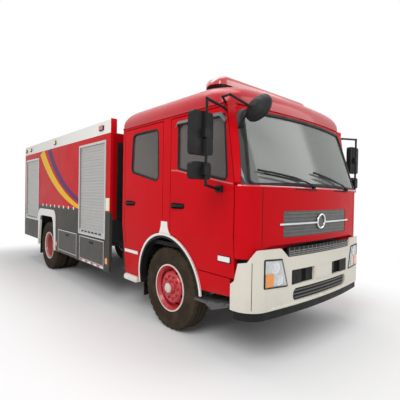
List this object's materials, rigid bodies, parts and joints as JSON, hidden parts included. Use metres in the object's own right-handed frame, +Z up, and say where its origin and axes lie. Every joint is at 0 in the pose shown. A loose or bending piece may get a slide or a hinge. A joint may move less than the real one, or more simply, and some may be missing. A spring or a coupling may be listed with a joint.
{
  "type": "foam fire truck",
  "caption": "Crew-cab foam fire truck on a cab-over chassis: tilting cab, opening doors, fold-down steps, steered front wheels, twin rear tyres, roller shutters and a roof monitor.",
  "frame": {"origin": "on the ground under the middle of the truck's length and width", "axes": "+X forward, +Y to the truck's left, +Z up"},
  "size_m": [7.8, 3.38, 3.11],
  "materials": {
    "paint_red": "gloss",
    "paint_white": "gloss",
    "chassis_black": "satin",
    "tank_metal": "satin",
    "roof_plate": "satin",
    "panel_grey": "satin",
    "shutter": "satin",
    "black_plastic": "matte",
    "glass": "polished",
    "lamp": "polished",
    "light_bar": "polished",
    "interior": "matte",
    "seat_cloth": "matte",
    "tyre": "matte",
    "rim": "gloss",
    "cast": "matte",
    "step_metal": "satin"
  },
  "bodies": {
    "chassis": {"frame_rails": "chassis_black", "cross_members": "chassis_black", "engine_driveline": "cast", "front_axle": "cast", "rear_axle": "cast", "leaf_springs": "chassis_black", "fuel_tank": "tank_metal", "front_bumper": "paint_white", "bumper_trim": "black_plastic", "cab_steps": "step_metal", "mudflaps": "black_plastic", "body_floor": "chassis_black", "body_end_walls": "paint_red", "body_side_right": "paint_red", "body_side_left": "paint_red", "body_roof": "roof_plate", "roof_side_rails": "paint_white", "shutters": "shutter", "lamps": "lamp", "rear_ladder": "tank_metal", "rear_bumper": "chassis_black"},
    "cab": {"cab_floor": "paint_red", "cab_side_right": "paint_red", "cab_side_left": "paint_red", "cab_front": "paint_red", "cab_roof": "paint_red", "windscreen": "glass", "grille": "black_plastic", "dashboard": "interior", "steering_wheel": "interior", "seats": "seat_cloth", "light_bar": "light_bar", "front_mirror": "black_plastic"},
    "front_right_door": {"door_front_right": "paint_red", "glass_front_right": "glass", "mirror_right": "black_plastic"},
    "front_left_door": {"door_front_left": "paint_red", "glass_front_left": "glass", "mirror_left": "black_plastic"},
    "rear_right_door": {"door_rear_right": "paint_red", "glass_rear_right": "glass"},
    "rear_left_door": {"door_rear_left": "paint_red", "glass_rear_left": "glass"},
    "front_right_step": {"step_door_front_right": "panel_grey"},
    "mid_right_step": {"step_door_mid_right": "panel_grey"},
    "front_left_step": {"step_door_front_left": "panel_grey"},
    "mid_left_step": {"step_door_mid_left": "panel_grey"},
    "turret": {"monitor_turret": "paint_red"},
    "monitor": {"monitor_barrel": "paint_red"},
    "right_knuckle": {"knuckle_right": "cast"},
    "left_knuckle": {"knuckle_left": "cast"},
    "track_rod": {"tie_rod": "cast"},
    "front_right_wheel": {"tyre_front_right": "tyre", "rim_front_right": "rim"},
    "front_left_wheel": {"tyre_front_left": "tyre", "rim_front_left": "rim"},
    "rear_right_wheel": {"tyres_rear_right": "tyre", "rims_rear_right": "rim"},
    "rear_left_wheel": {"tyres_rear_left": "tyre", "rims_rear_left": "rim"}
  },
  "joints": [
    {"name": "cab_tilt", "type": "hinge", "parent": "chassis", "child": "cab", "pos_m": [3.69, 0, 1.21], "axis": [0, 1, 0], "range_deg": [0, 45]},
    {"name": "front_right_door_hinge", "type": "hinge", "parent": "cab", "child": "front_right_door", "pos_m": [3.595, -1.2, 1.7], "axis": [0, 0, 1], "range_deg": [0, 65]},
    {"name": "rear_right_door_hinge", "type": "hinge", "parent": "cab", "child": "rear_right_door", "pos_m": [2.385, -1.2, 1.7], "axis": [0, 0, 1], "range_deg": [0, 65]},
    {"name": "front_right_step_hinge", "type": "hinge", "parent": "chassis", "child": "front_right_step", "pos_m": [0.37, -1.231, 0.504], "axis": [1, 0, 0], "range_deg": [0, 90]},
    {"name": "mid_right_step_hinge", "type": "hinge", "parent": "chassis", "child": "mid_right_step", "pos_m": [-0.75, -1.231, 0.504], "axis": [1, 0, 0], "range_deg": [0, 90]},
    {"name": "steer_right", "type": "hinge", "parent": "chassis", "child": "right_knuckle", "pos_m": [2.4, -0.8, 0.52], "axis": [0, 0, 1], "range_deg": [-35, 35]},
    {"name": "front_right_spin", "type": "hinge", "parent": "right_knuckle", "child": "front_right_wheel", "pos_m": [2.4, -0.965, 0.52], "axis": [0, 1, 0], "continuous": true},
    {"name": "rear_right_spin", "type": "hinge", "parent": "chassis", "child": "rear_right_wheel", "pos_m": [-2, -0.91, 0.52], "axis": [0, 1, 0], "continuous": true},
    {"name": "front_left_door_hinge", "type": "hinge", "parent": "cab", "child": "front_left_door", "pos_m": [3.595, 1.2, 1.7], "axis": [0, 0, -1], "range_deg": [0, 65]},
    {"name": "rear_left_door_hinge", "type": "hinge", "parent": "cab", "child": "rear_left_door", "pos_m": [2.385, 1.2, 1.7], "axis": [0, 0, -1], "range_deg": [0, 65]},
    {"name": "front_left_step_hinge", "type": "hinge", "parent": "chassis", "child": "front_left_step", "pos_m": [0.37, 1.231, 0.504], "axis": [-1, 0, 0], "range_deg": [0, 90]},
    {"name": "mid_left_step_hinge", "type": "hinge", "parent": "chassis", "child": "mid_left_step", "pos_m": [-0.75, 1.231, 0.504], "axis": [-1, 0, 0], "range_deg": [0, 90]},
    {"name": "steer_left", "type": "hinge", "parent": "chassis", "child": "left_knuckle", "pos_m": [2.4, 0.8, 0.52], "axis": [0, 0, 1], "range_deg": [-35, 35]},
    {"name": "front_left_spin", "type": "hinge", "parent": "left_knuckle", "child": "front_left_wheel", "pos_m": [2.4, 0.965, 0.52], "axis": [0, 1, 0], "continuous": true},
    {"name": "rear_left_spin", "type": "hinge", "parent": "chassis", "child": "rear_left_wheel", "pos_m": [-2, 0.91, 0.52], "axis": [0, 1, 0], "continuous": true},
    {"name": "track_rod_pivot", "type": "hinge", "parent": "right_knuckle", "child": "track_rod", "pos_m": [2.21, -0.8, 0.37], "axis": [0, 0, 1], "range_deg": [-35, 35]},
    {"name": "monitor_pan", "type": "hinge", "parent": "chassis", "child": "turret", "pos_m": [0.4, 0, 2.8], "axis": [0, 0, 1], "range_deg": [-170, 170]},
    {"name": "monitor_tilt", "type": "hinge", "parent": "turret", "child": "monitor", "pos_m": [0.4, 0, 3.02], "axis": [0, -1, 0], "range_deg": [-5, 70]}
  ],
  "couplings": [
    {"joint": "steer_left", "follows": "steer_right", "ratio": 1},
    {"joint": "track_rod_pivot", "follows": "steer_right", "ratio": -1}
  ]
}
